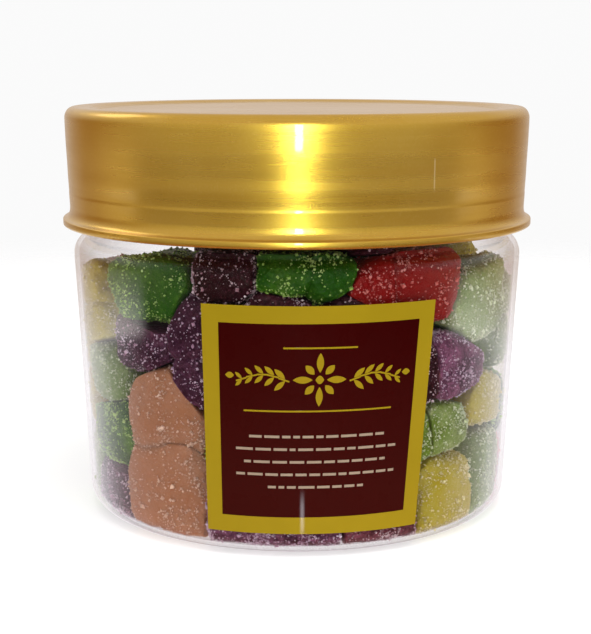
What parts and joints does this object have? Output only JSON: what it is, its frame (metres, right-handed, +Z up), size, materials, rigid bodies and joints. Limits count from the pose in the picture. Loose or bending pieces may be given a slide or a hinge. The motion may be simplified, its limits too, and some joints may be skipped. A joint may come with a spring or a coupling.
{
  "type": "jar of sugared jelly candies",
  "caption": "Shut round jar of clear plastic with a gold screw lid and a stuck-on label, filled with sugar-coated jelly candies in mixed colours.",
  "frame": {"origin": "middle of the ring that the jar stands on, at the table", "axes": "+Z up along the jar's axis; the label faces -Y, and +X is to the right of it"},
  "size_m": [0.0908, 0.0908, 0.0776],
  "materials": {
    "clear_plastic": "clear and glossy, thin blown wall",
    "gold_lid": "satin gold, softly brushed, with a sharp highlight",
    "label": "glossy laminated print, a dark field in a gold border",
    "jelly": "translucent jelly rolled in sugar: green, purple, red, yellow and orange pieces"
  },
  "bodies": {
    "root": {"jar": "clear_plastic", "lid": "gold_lid", "label": "label", "candies": "jelly"}
  },
  "joints": []
}
